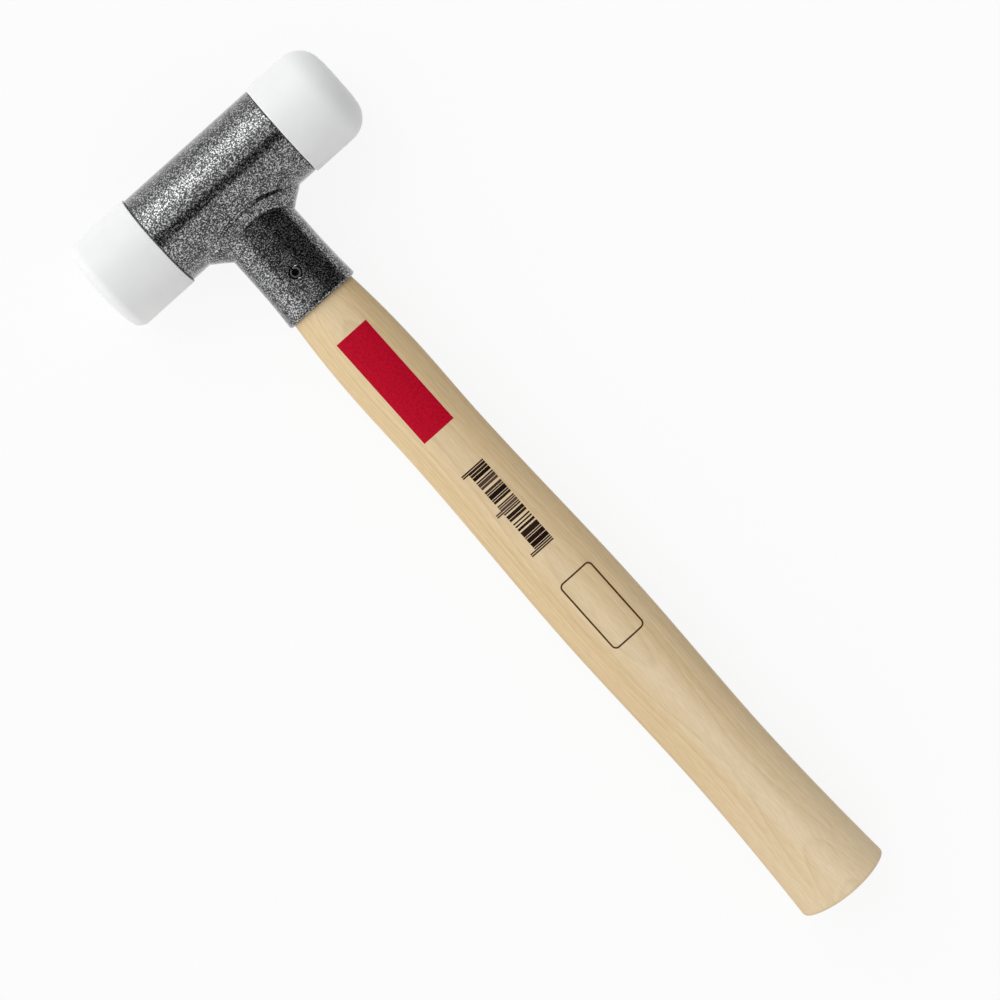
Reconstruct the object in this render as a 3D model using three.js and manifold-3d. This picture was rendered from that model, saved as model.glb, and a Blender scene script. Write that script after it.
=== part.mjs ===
// Dead blow hammer: a steel head tube with loose shot sealed inside it, two pressed nylon
// striking faces, and a hickory handle pinned into an oval socket that is welded to the tube.
// Millimetres, +Z up. The hammer lies on its side, on both faces and the butt of the handle.
// Inside the hammer group the head runs along X, the handle along -Y, and both meet at zero.
// "Reach" means a distance from the head's axis, measured along the handle.
import * as THREE from "three";
import Module from "manifold-3d";
import { mergeVertices } from "three/addons/utils/BufferGeometryUtils.js";

const wasm = await Module();
wasm.setup();

// Clearance left at every seat
const FIT = 0.3;

// Head tube: a wide bore at each end seats a plug and a face, a narrow bore between holds the shot
const TUBE_DIAMETER = 33.8;
const TUBE_LENGTH = 53;
const CHAMBER_WALL = 2.75;
const SEAT_WALL = 1.75;
const SEAT_DEPTH = 9;
const EDGE_BREAK = 0.35;

// Snap groove in each seat, for the rib on the nylon spigot
const GROOVE_DEPTH = 0.8;
const GROOVE_WIDTH = 2;
const GROOVE_INSET = 2.9;

// Cup plugs that keep the shot in when a face is changed
const PLUG_THICKNESS = 1.2;
const PLUG_HEIGHT = 3.2;
const PLUG_BEND = 1.4;

// Nylon striking faces: one keeps a crisp edge, the other is well rounded.
// Inside its edge a face rises by its crown, over a ring, to the flat land in the middle.
const FACE_DIAMETER = 35;
const FLAT_EDGE = { length: 24.85, radius: 4, crown: 0.7, ring: 6.5 };
const ROUND_EDGE = { length: 24.7, radius: 9, crown: 0.25, ring: 2.5 };

// Handle socket: an oval sleeve, waisted below a flared foot that saddles the tube
const OVAL_POWER = 2.3;
const LIP_REACH = 50;
const LIP_WIDTH = 27.8;
const LIP_THICKNESS = 22.6;
const LIP_RADIUS = 1;
const WAIST_REACH = 32;
const WAIST_WIDTH = 26.4;
const WAIST_THICKNESS = 21.2;
const FOOT_SPREAD = 6.6;
const FOOT_HEIGHT = 4.9;
const FOOT_HOLLOW = 0.06;
const LIP_WALL = 1.4;
const BORE_TAPER = 1;

// Hickory handle: outline stations from the neck at the lip to the butt. The end is domed: it rises
// by its crown from the sides to the middle, falls by its drop towards the top and bottom, and is cut
// a little askew, so that one side stands out by the skew and the other falls short by it.
const TENON_GAP = 1.2;
const TENON_CHAMFER = 1.2;
const SHOULDER_REACH = 84.5;
const SHOULDER_WIDTH = 27.8;
const SHOULDER_THICKNESS = 21;
const THROAT_REACH = 107.6;
const THROAT_WIDTH = 27.3;
const THROAT_THICKNESS = 20.7;
const SWELL_REACH = 189;
const SWELL_WIDTH = 30.7;
const SWELL_THICKNESS = 23.1;
const HOLLOW_REACH = 247.4;
const HOLLOW_WIDTH = 29.1;
const HOLLOW_THICKNESS = 21.9;
const BUTT_REACH = 307.1;
const BUTT_WIDTH = 33.4;
const BUTT_THICKNESS = 25.2;
const BUTT_FLARE = 1.7;
const BUTT_EDGE = 1.2;
const BUTT_CROWN = 2.3;
const BUTT_DROP = 0.8;
const BUTT_SKEW = 0.5;

// Slotted spring pin through socket and tenon
const PIN_DIAMETER = 4;
const PIN_WALL = 0.8;
const PIN_SLOT = 0.9;
const PIN_REACH = 37.3;
const PIN_RECESS = 0.4;

// Loose steel shot: travel is how far the charge can slide each way, and fill height is measured
// from the chamber's floor as the hammer lies
const SHOT_DIAMETER = 6.5;
const SHOT_TRAVEL = 4;
const SHOT_FILL_HEIGHT = 20;

// Smoothness of the faceted surfaces
const ROUND_SEGMENTS = 44;
const OVAL_SEGMENTS = 40;
const ARC_STEPS = 3;
const FOOT_STEPS = 4;
const SADDLE_STEPS = 3;
const SLEEVE_STEPS = 6;
const GRIP_STEPS = 6;
const SHOULDER_STEPS = 4;
const DOME_STEPS = 5;
const HOLE_SEGMENTS = 20;
const SHOT_DETAIL = 1;
const ROUNDING = 1e-9;
const MERGE_DISTANCE = 1e-4;

// Sizes that follow from the ones above
const TUBE_RADIUS = TUBE_DIAMETER / 2;
const CHAMBER_RADIUS = TUBE_RADIUS - CHAMBER_WALL;
const SEAT_RADIUS = TUBE_RADIUS - SEAT_WALL;
const TUBE_END = TUBE_LENGTH / 2;
const SHOULDER = TUBE_END - SEAT_DEPTH;
const PLUG_RADIUS = SEAT_RADIUS - FIT;
const FACE_RADIUS = FACE_DIAMETER / 2;
const SADDLE_RADIUS = TUBE_RADIUS + FIT;
const TENON_TOP = TUBE_RADIUS + TENON_GAP;
const BORE_MOUTH = { width: LIP_WIDTH / 2 - LIP_WALL, thickness: LIP_THICKNESS / 2 - LIP_WALL };

// Materials
const finish = (color, roughness, metalness) =>
  new THREE.MeshStandardMaterial({ color, roughness, metalness });
const hammertonePaint = finish(0x55575a, 0.45, 0.55);
const nylon = finish(0xf0f0ee, 0.4, 0);
const hickory = finish(0xdcc398, 0.6, 0);
const brightSteel = finish(0x9a9da1, 0.35, 1);
const springSteel = finish(0x3a3b3d, 0.45, 1);

// A named piece of the hammer.
function piece(name, geometry, material) {
  const mesh = new THREE.Mesh(geometry, material);
  mesh.name = name;
  return mesh;
}

// A solid of revolution about X, from profile points of radius and place along X.
function revolve(profile) {
  const points = profile.map(([radius, along]) => new THREE.Vector2(radius, along));
  return new THREE.LatheGeometry(points, ROUND_SEGMENTS).rotateZ(-Math.PI / 2);
}

// Points of a circular arc in a profile, from one angle to another.
function arc(radius, along, size, from, to) {
  return Array.from({ length: 2 * ARC_STEPS + 1 }, (_, i) => {
    const angle = from + ((to - from) * i) / (2 * ARC_STEPS);
    return [radius + size * Math.cos(angle), along + size * Math.sin(angle)];
  });
}

// A skin over rings of equal count. Ring ends join up in a loop, or are capped flat.
function loft(rings, looped) {
  const count = rings[0].length;
  const positions = rings.flat().flatMap((point) => point.toArray());
  const index = [];
  const bands = looped ? rings.length : rings.length - 1;
  for (let band = 0; band < bands; band++) {
    const near = band * count;
    const far = ((band + 1) % rings.length) * count;
    for (let i = 0; i < count; i++) {
      const next = (i + 1) % count;
      index.push(near + i, near + next, far + next, near + i, far + next, far + i);
    }
  }
  if (!looped) {
    const last = (rings.length - 1) * count;
    for (let i = 1; i < count - 1; i++) {
      index.push(0, i + 1, i);
      index.push(last, last + i, last + i + 1);
    }
  }
  const geometry = new THREE.BufferGeometry();
  geometry.setAttribute("position", new THREE.Float32BufferAttribute(positions, 3));
  geometry.setIndex(index);
  geometry.computeVertexNormals();
  return geometry;
}

// A closed geometry as a solid that can be cut.
function solidFrom(geometry) {
  const bare = geometry.clone();
  bare.deleteAttribute("normal");
  bare.deleteAttribute("uv");
  const merged = mergeVertices(bare, MERGE_DISTANCE);
  return new wasm.Manifold(
    new wasm.Mesh({
      numProp: 3,
      vertProperties: merged.attributes.position.array,
      triVerts: new Uint32Array(merged.index.array),
    }),
  );
}

// What is left of one geometry once another is cut out of it.
function cut(body, tool) {
  const mesh = solidFrom(body).subtract(solidFrom(tool)).getMesh();
  const geometry = new THREE.BufferGeometry();
  geometry.setAttribute("position", new THREE.BufferAttribute(mesh.vertProperties, 3));
  geometry.setIndex(new THREE.BufferAttribute(mesh.triVerts, 1));
  geometry.computeVertexNormals();
  return geometry;
}

// A point of an oval section, with the outward direction of the section there.
function ovalPoint(halfWidth, halfThickness, angle) {
  const bend = (value) => Math.sign(value) * Math.abs(value) ** (2 / OVAL_POWER);
  const slope = (value) => Math.sign(value) * Math.abs(value) ** (2 - 2 / OVAL_POWER);
  const x = halfWidth * bend(Math.cos(angle));
  const z = halfThickness * bend(Math.sin(angle));
  const out = new THREE.Vector2(slope(Math.cos(angle)) / halfWidth, slope(Math.sin(angle)) / halfThickness);
  return { x, z, out: out.normalize() };
}

const ovalAngles = Array.from({ length: OVAL_SEGMENTS }, (_, i) => (2 * Math.PI * i) / OVAL_SEGMENTS);

// A flat oval ring across the handle at one reach.
function ovalRing(reach, halfWidth, halfThickness) {
  return ovalAngles.map((angle) => {
    const { x, z } = ovalPoint(halfWidth, halfThickness, angle);
    return new THREE.Vector3(x, -reach, z);
  });
}

// Half sizes of the socket's bore, which narrows evenly from the lip to the tube.
function bore(reach) {
  const narrowing = (BORE_TAPER * (LIP_REACH - reach)) / (LIP_REACH - TUBE_RADIUS);
  return { width: BORE_MOUTH.width - narrowing, thickness: BORE_MOUTH.thickness - narrowing };
}

// Half sizes of the socket's outside: straight down to the waist, then widening to the lip.
function sleeve(reach) {
  const below = Math.max(0, reach - WAIST_REACH) / (LIP_REACH - WAIST_REACH);
  const share = below ** 2;
  return {
    width: (WAIST_WIDTH + (LIP_WIDTH - WAIST_WIDTH) * share) / 2,
    thickness: (WAIST_THICKNESS + (LIP_THICKNESS - WAIST_THICKNESS) * share) / 2,
  };
}

// Steel tube with stepped bores and a snap groove near each end.
function headTube() {
  const grooveOuter = TUBE_END - GROOVE_INSET + GROOVE_WIDTH / 2;
  const grooveInner = grooveOuter - GROOVE_WIDTH;
  const rightEnd = [
    [CHAMBER_RADIUS, SHOULDER],
    [SEAT_RADIUS, SHOULDER],
    [SEAT_RADIUS, grooveInner],
    [SEAT_RADIUS + GROOVE_DEPTH, grooveInner],
    [SEAT_RADIUS + GROOVE_DEPTH, grooveOuter],
    [SEAT_RADIUS, grooveOuter],
    [SEAT_RADIUS, TUBE_END - EDGE_BREAK],
    [SEAT_RADIUS + EDGE_BREAK, TUBE_END],
    [TUBE_RADIUS - EDGE_BREAK, TUBE_END],
    [TUBE_RADIUS, TUBE_END - EDGE_BREAK],
  ];
  const leftEnd = rightEnd.toReversed().map(([radius, along]) => [radius, -along]);
  return revolve([...rightEnd, ...leftEnd, rightEnd[0]].reverse());
}

// Drawn steel cup that rests on the shoulder of a seat, open towards the face.
function chamberPlug() {
  const base = SHOULDER + FIT;
  return revolve([
    [0, base],
    ...arc(PLUG_RADIUS - PLUG_BEND, base + PLUG_BEND, PLUG_BEND, -Math.PI / 2, 0),
    [PLUG_RADIUS, base + PLUG_HEIGHT],
    [PLUG_RADIUS - PLUG_THICKNESS, base + PLUG_HEIGHT],
    [PLUG_RADIUS - PLUG_THICKNESS, base + PLUG_THICKNESS],
    [0, base + PLUG_THICKNESS],
  ]);
}

// Nylon face: a nose in the plug, a ribbed spigot in the seat, and the thick striking cap.
function strikingFace(edge) {
  const noseTip = SHOULDER + FIT + PLUG_THICKNESS + FIT;
  const noseEnd = SHOULDER + FIT + PLUG_HEIGHT + FIT;
  const noseRadius = PLUG_RADIUS - PLUG_THICKNESS - FIT;
  const spigotRadius = SEAT_RADIUS - FIT;
  const ribRadius = SEAT_RADIUS + GROOVE_DEPTH - FIT;
  const ribOuter = TUBE_END - GROOVE_INSET + GROOVE_WIDTH / 2 - FIT;
  const ribInner = ribOuter - GROOVE_WIDTH + 2 * FIT;
  const back = TUBE_END + FIT;
  const front = back + edge.length;
  const edgeCentre = FACE_RADIUS - edge.radius;
  const crownRing = Array.from({ length: ARC_STEPS }, (_, i) => {
    const share = (i + 1) / ARC_STEPS;
    return [edgeCentre - edge.ring * share, front - edge.crown * (1 - share) ** 2];
  });
  return revolve([
    [0, noseTip],
    [noseRadius, noseTip],
    [noseRadius, noseEnd],
    [spigotRadius, noseEnd],
    [spigotRadius, ribInner],
    [ribRadius, ribInner],
    [ribRadius, ribOuter],
    [spigotRadius, ribOuter],
    [spigotRadius, back],
    [FACE_RADIUS - EDGE_BREAK, back],
    [FACE_RADIUS, back + EDGE_BREAK],
    ...arc(edgeCentre, front - edge.crown - edge.radius, edge.radius, 0, Math.PI / 2),
    ...crownRing,
    [0, front],
  ]);
}

// One point on the flared foot. Share 0 is its rim on the tube, share 1 is where the sleeve starts.
// The flare shrinks where tube and sleeve meet at a wide angle, as a fillet between them does.
function footPoint(angle, share) {
  const { x, z, out } = ovalPoint(WAIST_WIDTH / 2, WAIST_THICKNESS / 2, angle);
  const root = Math.sqrt(SADDLE_RADIUS ** 2 - z ** 2);
  const climb = (z / root) * out.y;
  const corner = Math.PI / 2 + Math.atan(climb);
  const scale = 1 / Math.tan(corner / 2);
  const spread = (FOOT_SPREAD * scale) / Math.hypot(1, climb);
  const rimZ = z + out.y * spread;
  const rim = new THREE.Vector3(x + out.x * spread, -Math.sqrt(SADDLE_RADIUS ** 2 - rimZ ** 2), rimZ);
  const start = new THREE.Vector3(x, -root - FOOT_HEIGHT * scale, z);
  const heel = new THREE.Vector3(x, -root, z);
  const middle = rim.clone().add(start).multiplyScalar(0.5).lerp(heel, FOOT_HOLLOW);
  return new THREE.QuadraticBezierCurve3(rim, middle, start).getPoint(share);
}

// One point of the saddle face against the tube, from the bore at share 0 to the foot's rim at share 1.
function saddlePoint(angle, share) {
  const top = bore(TUBE_RADIUS);
  const inner = ovalPoint(top.width, top.thickness, angle);
  const rim = footPoint(angle, 0);
  const x = inner.x + (rim.x - inner.x) * share;
  const z = inner.z + (rim.z - inner.z) * share;
  return new THREE.Vector3(x, -Math.sqrt(SADDLE_RADIUS ** 2 - z ** 2), z);
}

// Round hole for the pin, square through socket and tenon.
function pinHole() {
  return new THREE.CylinderGeometry(
    PIN_DIAMETER / 2 + FIT,
    PIN_DIAMETER / 2 + FIT,
    2 * LIP_THICKNESS,
    HOLE_SEGMENTS,
  )
    .rotateX(Math.PI / 2)
    .translate(0, -PIN_REACH, 0);
}

// Oval socket: foot, sleeve and rolled lip outside, tapered bore and saddle face inside.
function handleSocket() {
  const rings = [];
  for (let step = 0; step < FOOT_STEPS; step++) {
    rings.push(ovalAngles.map((angle) => footPoint(angle, step / FOOT_STEPS)));
  }
  for (let step = 0; step <= SLEEVE_STEPS; step++) {
    rings.push(
      ovalAngles.map((angle) => {
        const start = -footPoint(angle, 1).y;
        const reach = start + ((LIP_REACH - LIP_RADIUS - start) * step) / SLEEVE_STEPS;
        const half = sleeve(reach);
        const { x, z } = ovalPoint(half.width, half.thickness, angle);
        return new THREE.Vector3(x, -reach, z);
      }),
    );
  }
  for (let step = 1; step <= ARC_STEPS; step++) {
    const turn = (Math.PI / 2) * (step / ARC_STEPS);
    const inset = LIP_RADIUS * (1 - Math.cos(turn));
    const reach = LIP_REACH - LIP_RADIUS * (1 - Math.sin(turn));
    const half = sleeve(LIP_REACH - LIP_RADIUS);
    rings.push(ovalRing(reach, half.width - inset, half.thickness - inset));
  }
  rings.push(ovalRing(LIP_REACH, BORE_MOUTH.width, BORE_MOUTH.thickness));
  for (let step = 0; step < SADDLE_STEPS; step++) {
    rings.push(ovalAngles.map((angle) => saddlePoint(angle, step / SADDLE_STEPS)));
  }
  return cut(loft(rings, true), pinHole());
}

// How far the domed end reaches at one place of its oval, where across and up run from -1 to 1.
function buttEnd(across, up) {
  return BUTT_REACH + BUTT_SKEW * across + BUTT_CROWN * (1 - across ** 2) - BUTT_DROP * up ** 2;
}

// Half sizes of the handle below the lip: smooth steps between the outline's stations, and a flare
// that opens towards the butt.
function gripSection(reach) {
  const neck = bore(LIP_REACH);
  const stations = [
    [LIP_REACH, 2 * (neck.width - FIT), 2 * (neck.thickness - FIT)],
    [SHOULDER_REACH, SHOULDER_WIDTH, SHOULDER_THICKNESS],
    [THROAT_REACH, THROAT_WIDTH, THROAT_THICKNESS],
    [SWELL_REACH, SWELL_WIDTH, SWELL_THICKNESS],
    [HOLLOW_REACH, HOLLOW_WIDTH, HOLLOW_THICKNESS],
    [BUTT_REACH, BUTT_WIDTH, BUTT_THICKNESS],
  ];
  const last = stations.length - 1;
  const below = stations.findIndex(([station]) => station >= reach);
  const after = below < 0 ? last : Math.max(1, below);
  const [from, to] = [stations[after - 1], stations[after]];
  const run = (reach - from[0]) / (to[0] - from[0]);
  let eased = run * run * (3 - 2 * run);
  if (after === 1) eased = 1 - (1 - run) ** 2;
  if (after === last) eased = run ** BUTT_FLARE;
  return {
    width: (from[1] + (to[1] - from[1]) * eased) / 2,
    thickness: (from[2] + (to[2] - from[2]) * eased) / 2,
  };
}

// Reaches at which the handle gets a ring, from the lip to the hollow.
function gripReaches() {
  const spans = [LIP_REACH, SHOULDER_REACH, THROAT_REACH, SWELL_REACH, HOLLOW_REACH];
  const reaches = [];
  for (let span = 1; span < spans.length; span++) {
    const steps = spans[span - 1] === SHOULDER_REACH ? SHOULDER_STEPS : GRIP_STEPS;
    for (let step = 1; step <= steps; step++) {
      reaches.push(spans[span - 1] + ((spans[span] - spans[span - 1]) * step) / steps);
    }
  }
  return reaches;
}

// A ring round the flaring butt. Share 0 is the hollow, share 1 is where the end's edge starts to turn.
function flareRing(share) {
  return ovalAngles.map((angle) => {
    const { x: across, z: up } = ovalPoint(1, 1, angle);
    const end = buttEnd(across, up) - BUTT_EDGE;
    const reach = HOLLOW_REACH + (end - HOLLOW_REACH) * share;
    const half = gripSection(reach);
    return new THREE.Vector3(half.width * across, -reach, half.thickness * up);
  });
}

// A ring round the end's turned edge. Turn goes from 0 at the side to a right angle on the end face.
function edgeRing(turn) {
  return flareRing(1).map((side, i) => {
    const { x: across, z: up } = ovalPoint(1, 1, ovalAngles[i]);
    const inset = BUTT_EDGE * (1 - Math.cos(turn));
    const rise = BUTT_EDGE * Math.sin(turn);
    return new THREE.Vector3(side.x - inset * across, side.y - rise, side.z - inset * up);
  });
}

// A ring on the domed end face. Share 1 is its edge, and the middle lies at share 0.
function domeRing(share) {
  return edgeRing(Math.PI / 2).map((edge, i) => {
    const { x: across, z: up } = ovalPoint(1, 1, ovalAngles[i]);
    return new THREE.Vector3(edge.x * share, -buttEnd(across * share, up * share), edge.z * share);
  });
}

// Hickory handle: tapered tenon, slim throat, swelling grip and a crowned, flaring butt.
function handle() {
  const tenonRing = (reach, inset) => {
    const half = bore(reach);
    return ovalRing(reach, half.width - FIT - inset, half.thickness - FIT - inset);
  };
  const rings = [
    tenonRing(TENON_TOP, TENON_CHAMFER),
    tenonRing(TENON_TOP + TENON_CHAMFER, 0),
    tenonRing(LIP_REACH, 0),
  ];
  for (const reach of gripReaches()) {
    const half = gripSection(reach);
    rings.push(ovalRing(reach, half.width, half.thickness));
  }
  for (let step = 1; step <= GRIP_STEPS; step++) rings.push(flareRing(step / GRIP_STEPS));
  for (let step = 1; step <= ARC_STEPS; step++) rings.push(edgeRing((Math.PI / 2) * (step / ARC_STEPS)));
  for (let step = 1; step <= DOME_STEPS; step++) rings.push(domeRing(1 - step / (DOME_STEPS + 1)));
  return cut(loft(rings, false), pinHole());
}

// Rolled spring pin, open along its slot, with both ends just under the socket's surface.
function handlePin() {
  const outer = PIN_DIAMETER / 2;
  const inner = outer - PIN_WALL;
  const length = 2 * (sleeve(PIN_REACH).thickness - PIN_RECESS);
  const gap = Math.asin(PIN_SLOT / PIN_DIAMETER);
  const section = new THREE.Shape();
  section.absarc(0, 0, outer, Math.PI / 2 + gap, Math.PI / 2 - gap + 2 * Math.PI, false);
  section.absarc(0, 0, inner, Math.PI / 2 - gap + 2 * Math.PI, Math.PI / 2 + gap, true);
  section.closePath();
  return new THREE.ExtrudeGeometry(section, {
    depth: length,
    bevelEnabled: false,
    curveSegments: HOLE_SEGMENTS / 2,
  }).translate(0, -PIN_REACH, -length / 2);
}

// Places of the shot balls across the chamber: close rows from its floor up to the fill height.
function shotRows() {
  const pitch = SHOT_DIAMETER + FIT;
  const room = CHAMBER_RADIUS - SHOT_DIAMETER / 2 - FIT;
  const lowest = -Math.sqrt(room ** 2 - (pitch / 2) ** 2);
  const highest = SHOT_FILL_HEIGHT - CHAMBER_RADIUS - SHOT_DIAMETER / 2;
  const rise = (pitch * Math.sqrt(3)) / 2;
  const columns = Math.ceil(room / pitch) + 1;
  const places = [];
  for (let row = 0; lowest + row * rise <= highest; row++) {
    const z = lowest + row * rise;
    const offset = row % 2 === 0 ? 0.5 : 0;
    for (let column = -columns; column <= columns; column++) {
      const y = (column + offset) * pitch;
      if (Math.hypot(y, z) <= room + ROUNDING) places.push([y, z]);
    }
  }
  return places;
}

// Centres of all the balls: the rows repeated along the chamber, leaving the travel free at both ends.
function shotCentres() {
  const chargeLength = 2 * (SHOULDER - SHOT_TRAVEL);
  const slices = Math.floor((chargeLength + FIT) / (SHOT_DIAMETER + FIT));
  const step = slices > 1 ? (chargeLength - SHOT_DIAMETER) / (slices - 1) : 0;
  const rows = shotRows();
  return Array.from({ length: slices }, (_, slice) => (slice - (slices - 1) / 2) * step).flatMap((x) =>
    rows.map(([y, z]) => new THREE.Vector3(x, y, z)),
  );
}

// Assembly
const hammer = new THREE.Group();
hammer.add(piece("head_tube", headTube(), hammertonePaint));
hammer.add(piece("handle_socket", handleSocket(), hammertonePaint));
hammer.add(piece("handle", handle(), hickory));
hammer.add(piece("handle_pin", handlePin(), springSteel));

const rightSide = new THREE.Group();
rightSide.add(piece("chamber_plug_right", chamberPlug(), brightSteel));
rightSide.add(piece("striking_face_round", strikingFace(ROUND_EDGE), nylon));
const leftSide = new THREE.Group();
leftSide.rotation.y = Math.PI;
leftSide.add(piece("chamber_plug_left", chamberPlug(), brightSteel));
leftSide.add(piece("striking_face_flat", strikingFace(FLAT_EDGE), nylon));
hammer.add(rightSide, leftSide);

shotCentres().forEach((centre, i) => {
  const ball = new THREE.IcosahedronGeometry(SHOT_DIAMETER / 2, SHOT_DETAIL);
  const mesh = piece(`shot_ball_${String(i + 1).padStart(2, "0")}`, ball, brightSteel);
  mesh.position.copy(centre);
  hammer.add(mesh);
});

// The butt is thinner than the head, so the handle leans down until it touches the ground.
const buttReach = buttEnd(0, 1) - BUTT_EDGE;
hammer.rotation.x = Math.asin((FACE_RADIUS - gripSection(buttReach).thickness) / buttReach);
const extent = new THREE.Box3().setFromObject(hammer, true);
hammer.position.set(
  -(extent.min.x + extent.max.x) / 2,
  -(extent.min.y + extent.max.y) / 2,
  -extent.min.z,
);

const deadBlowHammer = new THREE.Group();
deadBlowHammer.add(hammer);

export default deadBlowHammer;
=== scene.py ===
# The looks of a dead blow hammer: hammertone head tube and socket, white nylon faces, hickory handle.
# Pieces are modelled in the hammer's own frame, with the head along X, the handle along -Y and the
# head's centre at zero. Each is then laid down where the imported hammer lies. Metres.
import math

import bpy
from mathutils import Matrix, Vector


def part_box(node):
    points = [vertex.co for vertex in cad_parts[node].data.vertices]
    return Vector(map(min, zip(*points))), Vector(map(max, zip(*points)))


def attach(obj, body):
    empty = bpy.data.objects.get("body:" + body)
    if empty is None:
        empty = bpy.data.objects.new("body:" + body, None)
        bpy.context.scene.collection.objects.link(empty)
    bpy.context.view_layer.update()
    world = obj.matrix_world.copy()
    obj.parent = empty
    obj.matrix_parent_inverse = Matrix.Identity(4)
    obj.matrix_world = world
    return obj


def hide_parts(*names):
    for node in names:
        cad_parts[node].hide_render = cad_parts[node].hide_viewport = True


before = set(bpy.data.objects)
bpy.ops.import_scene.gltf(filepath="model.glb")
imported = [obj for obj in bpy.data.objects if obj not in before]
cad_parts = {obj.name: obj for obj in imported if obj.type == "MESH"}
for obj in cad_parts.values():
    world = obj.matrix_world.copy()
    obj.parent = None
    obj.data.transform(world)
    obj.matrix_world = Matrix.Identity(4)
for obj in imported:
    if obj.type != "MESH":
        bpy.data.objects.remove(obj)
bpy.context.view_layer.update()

MM = 0.001

# Head, read from the frame
tube_low, tube_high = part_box("head_tube")
flat_low, flat_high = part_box("striking_face_flat")
round_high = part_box("striking_face_round")[1]
HEAD_CENTRE = (tube_low + tube_high) / 2
TUBE_RADIUS = (tube_high.y - tube_low.y) / 2
TUBE_END = (tube_high.x - tube_low.x) / 2
FACE_RADIUS = (flat_high.y - flat_low.y) / 2
NOSE_TIP = HEAD_CENTRE.x - flat_high.x

# Fits inside the head
FIT = 0.3 * MM
CHAMBER_RADIUS = TUBE_RADIUS - 2.75 * MM
SEAT_RADIUS = TUBE_RADIUS - 1.75 * MM
SEAT_DEPTH = 9 * MM
GROOVE_DEPTH = 0.8 * MM
GROOVE_WIDTH = 2 * MM
GROOVE_INSET = 2.9 * MM
NOSE_STEP = 2 * MM
NOSE_RADIUS = SEAT_RADIUS - 1.8 * MM
EDGE_BREAK = 0.35 * MM

# The two nylon faces: front from the head's centre, radius of the edge, and crown inside it over a ring
CRISP_FACE = {
    "front": HEAD_CENTRE.x - flat_low.x,
    "radius": 4 * MM,
    "crown": 0.7 * MM,
    "ring": 6.5 * MM,
}
ROUND_FACE = {
    "front": round_high.x - HEAD_CENTRE.x,
    "radius": 9 * MM,
    "crown": 0.25 * MM,
    "ring": 2.5 * MM,
}

# Handle socket: lip, waist and flared foot, with half sizes across and through the handle. All ovals
# share one power, and the foot's flare sags by a small share towards its root.
OVAL_POWER = 2.3
LIP_REACH = 50 * MM
LIP_HALF = Vector((13.9, 11.3)) * MM
LIP_RADIUS = 1 * MM
LIP_WALL = 1.4 * MM
WAIST_REACH = 32 * MM
WAIST_HALF = Vector((13.2, 10.6)) * MM
FOOT_SPREAD = 6.6 * MM
FOOT_HEIGHT = 4.9 * MM
FOOT_HOLLOW = 0.06
FOOT_SINK = 0.15 * MM
BORE_TAPER = 1 * MM

# Soft raised rim of the socket's foot: height, width of its rise, and how soon it grows away from
# the plane through head and handle
RIM_HEIGHT = 0.9 * MM
RIM_WIDTH = 1.6 * MM
RIM_GROWTH = 2.4

# Handle: reach from the head's axis, half width and half thickness at each station of its outline
SHOULDER = (84.5 * MM, 13.9 * MM, 10.5 * MM)
THROAT = (107.6 * MM, 13.65 * MM, 10.35 * MM)
SWELL = (189 * MM, 15.35 * MM, 11.55 * MM)
HOLLOW = (247.4 * MM, 14.55 * MM, 10.95 * MM)
BUTT = (307.1 * MM, 16.7 * MM, 12.6 * MM)

# Butt and tenon: power of the flare, turned edge, and the dome's crown, drop and skew
BUTT_FLARE = 1.7
BUTT_EDGE = 1.2 * MM
BUTT_CROWN = 2.3 * MM
BUTT_DROP = 0.8 * MM
BUTT_SKEW = 0.5 * MM
TENON_TOP = TUBE_RADIUS + 1.2 * MM
TENON_CHAMFER = 1.2 * MM

# Spring pin
PIN_REACH = 37.3 * MM
PIN_RADIUS = 2 * MM
PIN_WALL = 0.8 * MM
PIN_SLOT = 0.9 * MM
PIN_RECESS = 0.4 * MM
PIN_CHAMFER = 0.3 * MM
# A dark sheet across the pin's bore, as painted shade where the open bore would look into shadow
PIN_SHADE_WEB = 1 * MM

# The photograph's view, in the hammer's own frame: the picture's upward way is an angle from +X
CAMERA_AT = Vector((57.08, -60.34, 1106.3)) * MM
CAMERA_AIM = Vector((-0.23, -136.67, 0)) * MM
PICTURE_UP = math.radians(48.34)
CAMERA_LENS = 122.38
CAMERA_SENSOR = 36

# Printed marks on the handle's upper side: lowest and highest x and y in the hammer's own frame.
# The bars are one row of modules, a sign is a group of them, and guards stand at a pitch in modules.
RED_LABEL = (-5.9 * MM, 6.75 * MM, -106.2 * MM, -63.6 * MM)
BURNT_BARS = (-1.9 * MM, 5 * MM, -156.85 * MM, -122.15 * MM)
BURNT_FRAME = (-4.1 * MM, 8.6 * MM, -197.3 * MM, -169.8 * MM)
BAR_MODULE = 0.365 * MM
BAR_LIGHTS = 0.4
BAR_SPREAD = 0.08 * MM
SIGN_MODULES = 7
GUARD_MODULES = 3
GUARD_PITCH = 46
GUARD_LENGTH = 2.3 * MM
FRAME_CORNER = 1.6 * MM
FRAME_LINE = 0.6 * MM
FRAME_BROWN = (0.075, 0.038, 0.013)

# Painted light, painted shade and a paler butt: where each starts and is full, in y along the handle or x
# across it
LOWER_GRIP = (-112.5 * MM, -237.5 * MM)
# A painted highlight: a paler band along the middle of the handle's top, stronger down the grip
HIGHLIGHT_STRIPE = (8.33 * MM, 0)
HIGHLIGHT_STRIPE_SHARE = 0.5
PALE_BUTT = (-233.3 * MM, -306.7 * MM)
PALE_BUTT_SHARE = 0.35
PALE_WOOD_AND_HIGHLIGHT = (0.82, 0.70, 0.51)
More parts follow.
